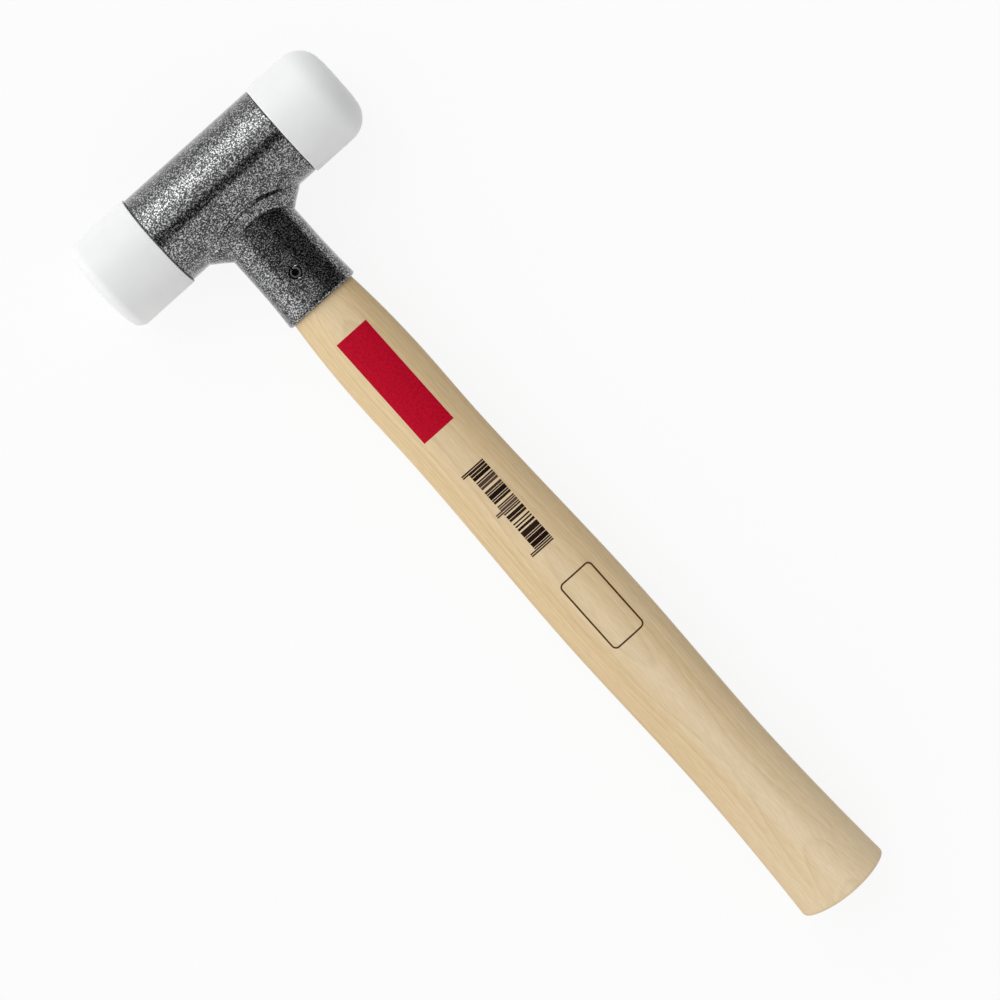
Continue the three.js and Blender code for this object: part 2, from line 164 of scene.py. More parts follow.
# Painted shade: the right side of the handle darker, above the lower grip
RIGHT_SHADE = (-1.67 * MM, 15 * MM)
RIGHT_SHADE_TINT = (0.94, 0.9, 0.84)
# Painted shade: the left side of the handle darker, along the lower grip
LEFT_SHADE = (-3.33 * MM, -11.67 * MM)
LEFT_SHADE_TINT = (0.88, 0.87, 0.86)

# Studio: light of the walls on the dim and the key side, dark flags overhead, one softbox, the floor.
# A flag is an oval round a direction. Its edge fades between two shares of its size, and its middle
# leaves little light.
KEY_SIDE = Vector((-0.83, 0.44, 0.3))
WALLS = (0.74, 1.50)
FLAGS = (
    (Vector((0.60, 0.02, 0.80)), Vector((0.48, 0.44, 2))),
    (Vector((-0.05, -0.10, 1)), Vector((0.62, 0.22, 2))),
)
FLAG_EDGE = (1.2, 0.8)
FLAG_LIGHT = 0.035
SOFTBOX_AT = Vector((-0.2, 1.3, 0.95))
SOFTBOX_AIM = Vector((0, 0.1, 0))
SOFTBOX_SIZE = 1.0
SOFTBOX_POWER = 5.2
FLOOR_SIZE = 60
FLOOR_PAPER = 0.78
FLOOR_GLOW = 0.89

# Fineness of the meshes
ROUND_SIDES = 128
OVAL_SIDES = 128
HOLE_SIDES = 48
ARC_STEPS = 10
MERGE_DISTANCE = 0.002 * MM
SMOOTH_ANGLE = math.radians(32)


# Modelling helpers

def only(piece):
    """Selects one piece and makes it active."""
    bpy.ops.object.select_all(action="DESELECT")
    piece.select_set(True)
    bpy.context.view_layer.objects.active = piece


def arc(along, radius, size, start, end):
    """Points (along, radius) on a circular arc of a turned profile, angles in degrees from +radius."""
    angles = [math.radians(start + (end - start) * i / ARC_STEPS) for i in range(ARC_STEPS + 1)]
    return [(along + size * math.sin(a), radius + size * math.cos(a)) for a in angles]


def turn(name, profile, filled):
    """Turns a profile of (along, radius) about X by extruding and scaling a circle ring by ring."""
    along, radius = profile[0]
    bpy.ops.object.select_all(action="DESELECT")
    bpy.ops.mesh.primitive_circle_add(
        vertices=ROUND_SIDES,
        radius=radius,
        fill_type="NGON" if filled else "NOTHING",
        location=(along, 0, 0),
        rotation=(0, math.pi / 2, 0),
    )
    piece = bpy.context.object
    piece.name = name
    bpy.ops.object.transform_apply(location=True, rotation=True, scale=True)
    bpy.ops.object.mode_set(mode="EDIT")
    bpy.ops.mesh.select_all(action="SELECT")
    for next_along, next_radius in profile[1:]:
        bpy.ops.mesh.extrude_region_move(TRANSFORM_OT_translate={"value": (next_along - along, 0, 0)})
        growth = next_radius / radius
        bpy.ops.transform.resize(value=(1, growth, growth), center_override=(next_along, 0, 0))
        along, radius = next_along, next_radius
    close_up()
    return piece


def close_up():
    """Merges doubled points, turns all faces outwards and leaves edit mode."""
    bpy.ops.mesh.select_all(action="SELECT")
    bpy.ops.mesh.remove_doubles(threshold=MERGE_DISTANCE)
    bpy.ops.mesh.normals_make_consistent(inside=False)
    bpy.ops.object.mode_set(mode="OBJECT")


def roll(name, sides, rings):
    """Rolls a grid into a tube: each ring is a function from an angle to a point."""
    bpy.ops.object.select_all(action="DESELECT")
    bpy.ops.mesh.primitive_grid_add(x_subdivisions=sides, y_subdivisions=len(rings) - 1, size=1)
    piece = bpy.context.object
    piece.name = name
    for vertex in piece.data.vertices:
        angle = 2 * math.pi * (vertex.co.x + 0.5)
        ring = rings[round((vertex.co.y + 0.5) * (len(rings) - 1))]
        vertex.co = ring(angle)
    bpy.ops.object.mode_set(mode="EDIT")
    close_up()
    return piece


def apply(piece, kind, **settings):
    """Adds a modifier, sets it and applies it."""
    only(piece)
    modifier = piece.modifiers.new(kind.title(), kind)
    for key, value in settings.items():
        setattr(modifier, key, value)
    bpy.ops.object.modifier_apply(modifier=modifier.name)


def cut_away(piece, cutter):
    """Cuts one mesh out of another and removes the cutter."""
    apply(piece, "BOOLEAN", object=cutter, operation="DIFFERENCE", solver="EXACT")
    bpy.data.objects.remove(cutter)


def lay_down(piece, material, node):
    """Moves a finished piece to where the hammer lies, and hands it to the frame."""
    only(piece)
    piece.matrix_world = LAID_DOWN
    bpy.ops.object.transform_apply(location=True, rotation=True, scale=True)
    bpy.ops.object.shade_smooth_by_angle(angle=SMOOTH_ANGLE)
    piece.data.materials.clear()
    piece.data.materials.append(material)
    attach(piece, "hammer")
    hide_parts(node)


def smooth_step(share):
    """Eases a share from 0 to 1, level at both ends."""
    return share * share * (3 - 2 * share)


def bend(value, power):
    """A power that keeps the sign."""
    return math.copysign(abs(value) ** power, value)


def oval(half, angle):
    """A point (x, z) of an oval section."""
    power = 2 / OVAL_POWER
    return Vector((half[0] * bend(math.cos(angle), power), half[1] * bend(math.sin(angle), power)))


def oval_out(half, angle):
    """The outward direction (x, z) at a point of an oval section."""
    power = 2 - 2 / OVAL_POWER
    out = Vector((bend(math.cos(angle), power) / half[0], bend(math.sin(angle), power) / half[1]))
    return out.normalized()


def oval_ring(reach, half):
    """A flat oval across the handle."""
    def place(angle):
        point = oval(half, angle)
        return Vector((point.x, -reach, point.y))
    return place


def bore_half(reach):
    """Half sizes of the socket's bore, which narrows evenly from the lip to the tube."""
    narrowing = BORE_TAPER * (LIP_REACH - reach) / (LIP_REACH - TUBE_RADIUS)
    return LIP_HALF - Vector((1, 1)) * (LIP_WALL + narrowing)


def sleeve_half(reach):
    """Half sizes of the socket's outside: straight to the waist, then widening to the lip."""
    below = max(0, reach - WAIST_REACH) / (LIP_REACH - WAIST_REACH)
    return WAIST_HALF.lerp(LIP_HALF, below ** 2)


def butt_end(across, up):
    """How far the domed end reaches at one place of its oval, where across and up run from -1 to 1."""
    return BUTT[0] + BUTT_SKEW * across + BUTT_CROWN * (1 - across ** 2) - BUTT_DROP * up ** 2


def grip_half(reach):
    """Half sizes of the handle below the lip: smooth steps between the stations of its outline, and a
    flare that opens towards the butt."""
    neck = bore_half(LIP_REACH) - Vector((FIT, FIT))
    stations = [(LIP_REACH, *neck), SHOULDER, THROAT, SWELL, HOLLOW, BUTT]
    for start, end in zip(stations, stations[1:]):
        if reach <= end[0]:
            break
    share = (reach - start[0]) / (end[0] - start[0])
    eased = smooth_step(share)
    if end == SHOULDER:
        eased = 1 - (1 - share) ** 2
    if end == BUTT:
        eased = share ** BUTT_FLARE
    return Vector(start[1:]) + (Vector(end[1:]) - Vector(start[1:])) * eased


# How the hammer lies: the butt is thinner than the head, so the handle leans down to the floor
BUTT_REACH = butt_end(0, 1) - BUTT_EDGE
LEAN = math.asin((FACE_RADIUS - grip_half(BUTT_REACH).y) / BUTT_REACH)
LAID_DOWN = Matrix.Translation(HEAD_CENTRE) @ Matrix.Rotation(LEAN, 4, "X")


# Pieces

def head_tube():
    """Steel tube with a stepped bore and a snap groove near each end."""
    shoulder = TUBE_END - SEAT_DEPTH
    groove_outer = TUBE_END - GROOVE_INSET + GROOVE_WIDTH / 2
    groove_inner = groove_outer - GROOVE_WIDTH
    right = [
        (shoulder, CHAMBER_RADIUS),
        (shoulder, SEAT_RADIUS),
        (groove_inner, SEAT_RADIUS),
        (groove_inner, SEAT_RADIUS + GROOVE_DEPTH),
        (groove_outer, SEAT_RADIUS + GROOVE_DEPTH),
        (groove_outer, SEAT_RADIUS),
        (TUBE_END - EDGE_BREAK, SEAT_RADIUS),
        (TUBE_END, SEAT_RADIUS + EDGE_BREAK),
        *arc(TUBE_END - EDGE_BREAK, TUBE_RADIUS - EDGE_BREAK, EDGE_BREAK, 90, 0),
    ]
    left = [(-along, radius) for along, radius in reversed(right)]
    return turn("head_tube_painted", [*right, *left, right[0]], filled=False)


def striking_face(name, face, side):
    """Nylon face: nose, ribbed spigot and thick striking cap. Side is 1 to the right, -1 to the left."""
    back = TUBE_END + FIT
    nose_end = NOSE_TIP + NOSE_STEP
    rib_outer = TUBE_END - GROOVE_INSET + GROOVE_WIDTH / 2 - FIT
    rib_inner = rib_outer - GROOVE_WIDTH + 2 * FIT
    spigot = SEAT_RADIUS - FIT
    rib = SEAT_RADIUS + GROOVE_DEPTH - FIT
    edge_radius = FACE_RADIUS - face["radius"]
    edge_along = face["front"] - face["crown"] - face["radius"]
    inward = [i / ARC_STEPS for i in range(1, ARC_STEPS + 1)]
    crown = [
        (face["front"] - face["crown"] * (1 - share) ** 2, edge_radius - face["ring"] * share)
        for share in inward
    ]
    profile = [
        (NOSE_TIP, NOSE_RADIUS),
        (nose_end, NOSE_RADIUS),
        (nose_end, spigot),
        (rib_inner, spigot),
        (rib_inner, rib),
        (rib_outer, rib),
        (rib_outer, spigot),
        (back, spigot),
        *arc(back + EDGE_BREAK, FACE_RADIUS - EDGE_BREAK, EDGE_BREAK, -90, 0),
        *arc(edge_along, edge_radius, face["radius"], 0, 90),
        *crown,
    ]
    return turn(name, [(side * along, radius) for along, radius in profile], filled=True)


def rim_rise(share, peak):
    """How far the foot stands off its plain flare: a soft rise to a peak, then a fade to the sleeve."""
    if share < peak:
        return RIM_HEIGHT * smooth_step(share / peak)
    return RIM_HEIGHT * smooth_step((1 - share) / (1 - peak))


def foot_ring(share):
    """The flared foot: its rim on the tube at share 0, the start of the sleeve at share 1.
    The flare shrinks where tube and sleeve meet at a wide angle, as a fillet does."""
    saddle = TUBE_RADIUS - FOOT_SINK

    def place(angle):
        point = oval(WAIST_HALF, angle)
        out = oval_out(WAIST_HALF, angle)
        root = math.sqrt(saddle ** 2 - point.y ** 2)
        climb = point.y / root * out.y
        scale = 1 / math.tan((math.pi / 2 + math.atan(climb)) / 2)
        rim = point + out * FOOT_SPREAD * scale / math.hypot(1, climb)
        top = Vector((rim.x, -math.sqrt(saddle ** 2 - rim.y ** 2), rim.y))
        start = Vector((point.x, -root - FOOT_HEIGHT * scale, point.y))
        heel = Vector((point.x, -root, point.y))
        middle = ((top + start) / 2).lerp(heel, FOOT_HOLLOW)
        off_tube = Vector((0, top.y, top.z)) / saddle
        plain = top.lerp(middle, share).lerp(middle.lerp(start, share), share)
        shown = min(1, RIM_GROWTH * abs(off_tube.z))
        return plain + off_tube * shown * rim_rise(share, RIM_WIDTH / (start - top).length)
    return place


def sleeve_ring(share):
    """The sleeve's outside, from the foot at share 0 to the lip's rounding at share 1."""
    def place(angle):
        start = -foot_ring(1)(angle).y
        reach = start + (LIP_REACH - LIP_RADIUS - start) * share
        return oval_ring(reach, sleeve_half(reach))(angle)
    return place


def saddle_ring(share):
    """The face against the tube, from the bore at share 0 to the foot's rim at share 1."""
    saddle = TUBE_RADIUS - FOOT_SINK

    def place(angle):
        inner = oval(bore_half(TUBE_RADIUS), angle)
        rim = foot_ring(0)(angle)
        point = inner.lerp(Vector((rim.x, rim.z)), share)
        return Vector((point.x, -math.sqrt(saddle ** 2 - point.y ** 2), point.y))
    return place


def pin_hole():
    """A round cutter for the pin's hole."""
    bpy.ops.object.select_all(action="DESELECT")
    bpy.ops.mesh.primitive_cylinder_add(
        vertices=HOLE_SIDES,
        radius=PIN_RADIUS + FIT,
        depth=4 * LIP_HALF.y,
        location=(0, -PIN_REACH, 0),
    )
    bpy.ops.object.transform_apply(location=True, rotation=True, scale=True)
    return bpy.context.object


def handle_socket():
    """Oval socket with a flared foot on the tube, a waist and a rolled lip."""
    foot_steps, sleeve_steps, saddle_steps = 24, 24, 8
    rings = [foot_ring(i / foot_steps) for i in range(foot_steps)]
    rings += [sleeve_ring(i / sleeve_steps) for i in range(sleeve_steps + 1)]
    lip = sleeve_half(LIP_REACH - LIP_RADIUS)
    for i in range(1, ARC_STEPS + 1):
        turned = math.pi / 2 * i / ARC_STEPS
        inset = LIP_RADIUS * (1 - math.cos(turned))
        reach = LIP_REACH - LIP_RADIUS * (1 - math.sin(turned))
        rings.append(oval_ring(reach, lip - Vector((inset, inset))))
    rings.append(oval_ring(LIP_REACH, bore_half(LIP_REACH)))
    rings += [saddle_ring(i / saddle_steps) for i in range(saddle_steps + 1)]
    socket = roll("handle_socket_painted", OVAL_SIDES, rings)
    cut_away(socket, pin_hole())
    return socket


def flare_ring(share):
    """Round the flaring butt, from the hollow at share 0 to the turned edge of the end at share 1."""
    def place(angle):
        across, up = oval((1, 1), angle)
        reach = HOLLOW[0] + (butt_end(across, up) - BUTT_EDGE - HOLLOW[0]) * share
        half = grip_half(reach)
        return Vector((half.x * across, -reach, half.y * up))
    return place


def edge_ring(turned):
    """Round the turned edge of the end, from 0 at the side to a right angle on the end face."""
    def place(angle):
        across, up = oval((1, 1), angle)
        inset = BUTT_EDGE * (1 - math.cos(turned))
        rise = BUTT_EDGE * math.sin(turned)
        return flare_ring(1)(angle) - Vector((inset * across, rise, inset * up))
    return place


def dome_ring(share):
    """On the domed end face, from its middle at share 0 to its edge at share 1."""
    def place(angle):
        across, up = oval((share, share), angle)
        edge = edge_ring(math.pi / 2)(angle)
        return Vector((edge.x * share, -butt_end(across, up), edge.z * share))
    return place


def handle():
    """Hickory handle: tapered tenon, slim throat, swelling grip and a domed, flaring butt."""
    tenon_steps, grip_steps, flare_steps, dome_steps = 8, 110, 40, 16
    tenon_fit = Vector((FIT, FIT))
    tip = bore_half(TENON_TOP) - tenon_fit - Vector((TENON_CHAMFER, TENON_CHAMFER))
    rings = [oval_ring(TENON_TOP, tip * share) for share in (0, 0.5, 1)]
    tenon_start = TENON_TOP + TENON_CHAMFER
    for i in range(tenon_steps + 1):
        reach = tenon_start + (LIP_REACH - tenon_start) * i / tenon_steps
        rings.append(oval_ring(reach, bore_half(reach) - tenon_fit))
    for i in range(1, grip_steps + 1):
        reach = LIP_REACH + (HOLLOW[0] - LIP_REACH) * i / grip_steps
        rings.append(oval_ring(reach, grip_half(reach)))
    rings += [flare_ring(i / flare_steps) for i in range(1, flare_steps + 1)]
    rings += [edge_ring(math.pi / 2 * i / ARC_STEPS) for i in range(1, ARC_STEPS + 1)]
    rings += [dome_ring(1 - i / dome_steps) for i in range(1, dome_steps + 1)]
    wood = roll("handle_hickory", OVAL_SIDES, rings)
    cut_away(wood, pin_hole())
    return wood


def handle_pin():
    """Rolled spring pin, chamfered at the ends, open along its slot and closed half way down by a sheet
    of painted shade.
    """
    end = sleeve_half(PIN_REACH).y - PIN_RECESS
    inner = PIN_RADIUS - PIN_WALL
    # The dark sheet half way down the bore is painted shade
    shade_web = PIN_SHADE_WEB / 2
    profile = [
        (shade_web, inner),
        (end, inner),
        (end, PIN_RADIUS - PIN_CHAMFER),
        (end - PIN_CHAMFER, PIN_RADIUS),
        (PIN_CHAMFER - end, PIN_RADIUS),
        (-end, PIN_RADIUS - PIN_CHAMFER),
        (-end, inner),
        (-shade_web, inner),
    ]
    pin = turn("handle_pin_steel", profile, filled=True)
    pin.matrix_world = Matrix.Translation((0, -PIN_REACH, 0)) @ Matrix.Rotation(math.pi / 2, 4, "Y")
    only(pin)
    bpy.ops.object.transform_apply(location=True, rotation=True, scale=True)
    bpy.ops.object.select_all(action="DESELECT")
    bpy.ops.mesh.primitive_cube_add(size=1, location=(0, PIN_RADIUS - PIN_REACH, 0))
    slot = bpy.context.object
    slot.scale = (PIN_SLOT, 2 * PIN_WALL, 3 * end)
    bpy.ops.object.transform_apply(location=True, rotation=True, scale=True)
    cut_away(pin, slot)
    return pin


# Material helpers

def new_material(name):
    """An empty material with its node tree and main shader."""
    material = bpy.data.materials.new(name)
    material.use_nodes = True
    return material, material.node_tree, material.node_tree.nodes["Principled BSDF"]


def connect(tree, node, inputs):
    """Gives a node's inputs their values, or links them where the value is a socket."""
    for key, value in inputs.items():
        if isinstance(value, bpy.types.NodeSocket):
            tree.links.new(value, node.inputs[key])
        else:
            node.inputs[key].default_value = value


def add(tree, kind, inputs=None, **settings):
    """Adds a node with its settings and inputs."""
    node = tree.nodes.new(kind)
    for key, value in settings.items():
        setattr(node, key, value)
    connect(tree, node, inputs or {})
    return node


def calc(tree, operation, *values):
    """A Math node's result."""
    return add(tree, "ShaderNodeMath", dict(enumerate(values)), operation=operation).outputs[0]


def vector_calc(tree, operation, *values, result="Vector"):
    """A Vector Math node's result."""
    return add(tree, "ShaderNodeVectorMath", dict(enumerate(values)), operation=operation).outputs[result]


def span(tree, share, low, high):
    """Runs from low to high as a share goes from 0 to 1."""
    return calc(tree, "MULTIPLY_ADD", share, high - low, low)


def fade_in(tree, value, start, end, height=1.0):
    """0 before start, an even climb to a height at end, and level beyond. Start may be above end."""
    return add(
        tree,
        "ShaderNodeMapRange",
        {"Value": value, "From Min": start, "From Max": end, "To Min": 0.0, "To Max": height},
    ).outputs[0]


def between(tree, value, low, high):
    """1 where a value lies between two limits, and 0 elsewhere."""
    return calc(
        tree,
        "MULTIPLY",
        calc(tree, "GREATER_THAN", value, low),
        calc(tree, "LESS_THAN", value, high),
    )


def hammer_space(tree):
    """Coordinates in the hammer's own frame, wherever it lies."""
    place = add(tree, "ShaderNodeTexCoord").outputs["Object"]
    return add(
        tree,
        "ShaderNodeMapping",
        {"Vector": place, "Location": HEAD_CENTRE, "Rotation": (LEAN, 0, 0)},
        vector_type="TEXTURE",
    ).outputs["Vector"]


def noise(tree, place, stretch, detail=2.0, distortion=0.0):
    """Noise over a place, with as many cells per metre as stretch says along each axis."""
    scaled = vector_calc(tree, "MULTIPLY", place, stretch)
    return add(
        tree,
        "ShaderNodeTexNoise",
        {"Vector": scaled, "Scale": 1.0, "Detail": detail, "Distortion": distortion},
    ).outputs["Fac"]


def chance(tree, number):
    """A random value from 0 to 1 for a whole number."""
    return add(tree, "ShaderNodeTexWhiteNoise", {"W": number}, noise_dimensions="1D").outputs["Value"]


def grey(level):
    """A grey colour."""
    return (level, level, level)


def ramp(tree, factor, *stops):
    """A colour ramp through (position, colour) stops."""
    node = add(tree, "ShaderNodeValToRGB", {"Fac": factor})
    elements = node.color_ramp.elements
    while len(elements) < len(stops):
        elements.new(0.5)
    for element, (position, colour) in zip(elements, stops):
        element.position = position
        element.color = (*colour, 1)
    return node.outputs["Color"]


def opaque(colour):
    """A colour with full alpha. A socket stays as it is."""
    return colour if isinstance(colour, bpy.types.NodeSocket) else (*colour, 1)


def mix(tree, factor, first, second, blend="MIX"):
    """Mixes two colours, through the sockets that a Mix node has for colours."""
    inputs = {0: factor, 6: opaque(first), 7: opaque(second)}
    return add(tree, "ShaderNodeMix", inputs, data_type="RGBA", blend_type=blend).outputs[2]


def bump(tree, height, distance, strength):
    """Surface relief from a height."""
    return add(
        tree,
        "ShaderNodeBump",
        {"Height": height, "Distance": distance, "Strength": strength},
    ).outputs["Normal"]


# Materials

def hammertone_paint():
    """Silver-flake paint that dries in small cells: bright flake, black between, a thin clear coat."""
    patchiness = 0.1
    material, tree, shader = new_material("hammertone_paint")
    place = hammer_space(tree)
    cells = noise(tree, place, (2000, 2000, 2000), detail=2.0, distortion=0.2)
    patches = noise(tree, place, (300, 300, 300), detail=1.0)
    flake = calc(tree, "MULTIPLY_ADD", calc(tree, "SUBTRACT", patches, 0.5), patchiness, cells)
    colour = ramp(
        tree,
        flake,
        (0.40, (0.004, 0.004, 0.0041)),
        (0.52, (0.085, 0.0855, 0.087)),
        (0.63, (0.46, 0.463, 0.467)),
    )
    connect(tree, shader, {
        "Base Color": colour,
        "Roughness": span(tree, flake, 0.1, 0.3),
        "Normal": bump(tree, cells, 0.1 * MM, 0.3),
        "Metallic": 0.9,
        "Coat Weight": 0.6,
        "Coat Roughness": 0.2,
    })
    return material


def white_nylon():
    """Moulded white nylon: satin, slightly translucent, with a faint cloudiness."""
    material, tree, shader = new_material("white_nylon")
    place = hammer_space(tree)
    cloud = noise(tree, place, (90, 90, 90), detail=3.0)
    grain = noise(tree, place, (2600, 2600, 2600), detail=1.0)
    connect(tree, shader, {
        "Base Color": ramp(tree, cloud, (0.35, (0.755, 0.76, 0.763)), (0.65, (0.78, 0.785, 0.788))),
        "Roughness": span(tree, cloud, 0.4, 0.52),
        "Normal": bump(tree, grain, 0.02 * MM, 0.25),
        "Specular IOR Level": 0.35,
        "Subsurface Weight": 0.15,
        "Subsurface Radius": (1.0, 1.0, 1.0),
        "Subsurface Scale": 2 * MM,
    })
    return material


def growth_rings(tree, place, along):
    """Ring figure of a flat-sawn billet: layers round a deep pith, which the flaring butt cuts open
    into nested arches."""
    from_pith = (1 * MM, 0, 70 * MM)
    ring_width = 0.7 * MM
    climb = 0.004
    wander = 0.9 * MM
    ripple = 0.3 * MM
    flat = vector_calc(tree, "MULTIPLY_ADD", place, (1, 0, 1), from_pith)
    depth = vector_calc(tree, "LENGTH", flat, result="Value")
    layer = calc(tree, "MULTIPLY_ADD", along, climb, depth)
    layer = calc(tree, "MULTIPLY_ADD", noise(tree, place, (20, 5, 20), detail=1.0), wander, layer)
    layer = calc(tree, "MULTIPLY_ADD", noise(tree, place, (130, 14, 130), detail=2.0), ripple, layer)
    return calc(tree, "FRACT", calc(tree, "DIVIDE", layer, ring_width))


def wood_figure(tree, place, along, streak):
    """The wood's own colour, from its growth rings, fine streaks and broad stripes."""
    ring_share, streak_share, broad_share = 0.32, 0.32, 0.45
    ring = ramp(
        tree,
        growth_rings(tree, place, along),
        (0.0, grey(0.25)),
        (0.10, grey(0.5)),
        (0.50, grey(0.62)),
        (0.90, grey(0.8)),
        (1.0, grey(0.25)),
    )
    broad = noise(tree, place, (70, 3, 70), detail=2.0)
    tone = calc(tree, "MULTIPLY_ADD", ring, ring_share, calc(tree, "MULTIPLY", streak, streak_share))
    tone = calc(tree, "MULTIPLY_ADD", broad, broad_share, tone)
    return ramp(
        tree,
        tone,
        (0.34, (0.55, 0.40, 0.215)),
        (0.56, (0.68, 0.52, 0.31)),
        (0.78, (0.76, 0.61, 0.395)),
    )


def shaded_wood(tree, place, across, along, streak):
    """Wood with pores, a paler butt, a painted top highlight, and painted shade right above and left
    below.
    """
    lower = fade_in(tree, along, *LOWER_GRIP)
    # Painted highlight: a paler band along the middle of the top, growing down the grip, joined by the
    # paler butt
    painted_highlight = fade_in(tree, calc(tree, "ABSOLUTE", across), *HIGHLIGHT_STRIPE, HIGHLIGHT_STRIPE_SHARE)
    painted_highlight = calc(tree, "MULTIPLY", painted_highlight, span(tree, lower, 0.6, 1.1))
    highlight_and_pale_butt = calc(tree, "MAXIMUM", painted_highlight, fade_in(tree, along, *PALE_BUTT, PALE_BUTT_SHARE))
    wood = mix(tree, highlight_and_pale_butt, wood_figure(tree, place, along, streak), PALE_WOOD_AND_HIGHLIGHT)
    pore = noise(tree, place, (2200, 210, 2200), detail=2.0)
    pores = ramp(tree, pore, (0.30, (0.92, 0.90, 0.88)), (0.62, grey(1)))
    # Painted shade on the right side, above the lower grip
    right = mix(tree, fade_in(tree, across, *RIGHT_SHADE), grey(1), RIGHT_SHADE_TINT)
    right = mix(tree, lower, right, grey(1))
    # Painted shade on the left side, along the lower grip
    left = mix(tree, fade_in(tree, across, *LEFT_SHADE), grey(1), LEFT_SHADE_TINT)
    left = mix(tree, lower, grey(1), left)
    for tint in (pores, right, left):
        wood = mix(tree, 1.0, wood, tint, blend="MULTIPLY")
    return wood


def inked_modules(tree, along, across):
    """Dark modules of a made-up row of bars. Pairs at the ends and in the middle are guards, which
    reach further."""
    x_low, x_high, y_low, y_high = BURNT_BARS
    module = calc(tree, "DIVIDE", calc(tree, "SUBTRACT", y_high, along), BAR_MODULE)
    module = calc(tree, "FLOOR", module)

    # Each sign starts with a light module and ends with a dark one
    sign = calc(tree, "MODULO", module, SIGN_MODULES)
    plain = calc(tree, "GREATER_THAN", chance(tree, module), BAR_LIGHTS)
    plain = calc(tree, "MULTIPLY", plain, calc(tree, "GREATER_THAN", sign, 0.5))
    plain = calc(tree, "MAXIMUM", plain, calc(tree, "GREATER_THAN", sign, SIGN_MODULES - 1.5))

    # A guard is dark, light and dark, in place of the plain modules
    spot = calc(tree, "MODULO", module, GUARD_PITCH)
    guard = calc(tree, "LESS_THAN", spot, GUARD_MODULES - 0.5)
    pair = calc(tree, "GREATER_THAN", calc(tree, "ABSOLUTE", calc(tree, "SUBTRACT", spot, 1)), 0.5)
    bar = calc(tree, "ADD", calc(tree, "MULTIPLY", guard, pair), plain)
    bar = calc(tree, "SUBTRACT", bar, calc(tree, "MULTIPLY", guard, plain))

    low = calc(tree, "MULTIPLY_ADD", guard, -GUARD_LENGTH, x_low)
    bar = calc(tree, "MULTIPLY", bar, between(tree, across, low, x_high))
    return calc(tree, "MULTIPLY", bar, between(tree, along, y_low, y_high))


def burnt_bars(tree, along, across):
    """Plain bars across the handle, each a little wider than its modules, as burnt lines spread."""
    before = inked_modules(tree, calc(tree, "SUBTRACT", along, BAR_SPREAD), across)
    after = inked_modules(tree, calc(tree, "ADD", along, BAR_SPREAD), across)
    return calc(tree, "MAXIMUM", before, after)


def scorch_colour(tree, along):
    """Nearly black burns, with a browner sign here and there."""
    sign = calc(tree, "DIVIDE", calc(tree, "SUBTRACT", BURNT_BARS[3], along), SIGN_MODULES * BAR_MODULE)
    return ramp(
        tree,
        chance(tree, calc(tree, "FLOOR", sign)),
        (0.2, (0.009, 0.003, 0.002)),
        (0.7, (0.022, 0.009, 0.006)),
        (0.95, (0.09, 0.05, 0.04)),
    )


def burnt_frame(tree, place):
    """A thin empty frame with rounded corners."""
    x_low, x_high, y_low, y_high = BURNT_FRAME
    centre = ((x_low + x_high) / 2, (y_low + y_high) / 2, 0)
    inner = ((x_high - x_low) / 2 - FRAME_CORNER, (y_high - y_low) / 2 - FRAME_CORNER, 0)
    flat = vector_calc(tree, "MULTIPLY", place, (1, 1, 0))
    offset = vector_calc(tree, "ABSOLUTE", vector_calc(tree, "SUBTRACT", flat, centre))
    outside = vector_calc(tree, "MAXIMUM", vector_calc(tree, "SUBTRACT", offset, inner), (0, 0, 0))
    distance = calc(tree, "SUBTRACT", vector_calc(tree, "LENGTH", outside, result="Value"), FRAME_CORNER)
    return calc(tree, "LESS_THAN", calc(tree, "ABSOLUTE", distance), FRAME_LINE / 2)


def label_red(tree, place):
    """Red print that the wood's texture mottles."""
    mottle = noise(tree, place, (1900, 1200, 1900), detail=2.0)
    return ramp(tree, mottle, (0.35, (0.375, 0.0, 0.013)), (0.65, (0.48, 0.002, 0.021)))


def hickory_wood():
    """Pale hickory with ring figure, fine streaks, pores, and the printed marks on its upper side."""
    material, tree, shader = new_material("hickory_wood")
    place = hammer_space(tree)
    split = add(tree, "ShaderNodeSeparateXYZ", {"Vector": place}).outputs
    across, along = split["X"], split["Y"]
    upper = calc(tree, "GREATER_THAN", split["Z"], 0)
    streak = noise(tree, place, (750, 7, 750), detail=4.0)

    x_low, x_high, y_low, y_high = RED_LABEL
    label = between(tree, across, x_low, x_high)
    label = calc(tree, "MULTIPLY", label, between(tree, along, y_low, y_high))
    marks = (
        (label, label_red(tree, place)),
        (burnt_bars(tree, along, across), scorch_colour(tree, along)),
        (burnt_frame(tree, place), FRAME_BROWN),
    )
    colour = shaded_wood(tree, place, across, along, streak)
    for mark, ink in marks:
        colour = mix(tree, calc(tree, "MULTIPLY", mark, upper), colour, ink)

    connect(tree, shader, {
        "Base Color": colour,
        "Roughness": span(tree, streak, 0.48, 0.68),
        "Normal": bump(tree, streak, 0.03 * MM, 0.2),
        "Specular IOR Level": 0.08,
    })
    return material


def bare_steel(name, tone, roughness):
    """Steel with fine drawn lines and a mottled oil film, which darkens and roughens it."""
    material, tree, shader = new_material(name)
    place = hammer_space(tree)
    lines = noise(tree, place, (2500, 2500, 120), detail=2.0)
    film = noise(tree, place, (300, 300, 300), detail=2.0)
    connect(tree, shader, {
        "Base Color": ramp(tree, film, (0.3, grey(0.75 * tone)), (0.7, (tone, tone, 1.03 * tone))),
        "Roughness": span(tree, film, roughness, roughness + 0.2),
        "Normal": bump(tree, lines, 0.03 * MM, 0.3),
        "Metallic": 1.0,
    })
    return material


# Studio

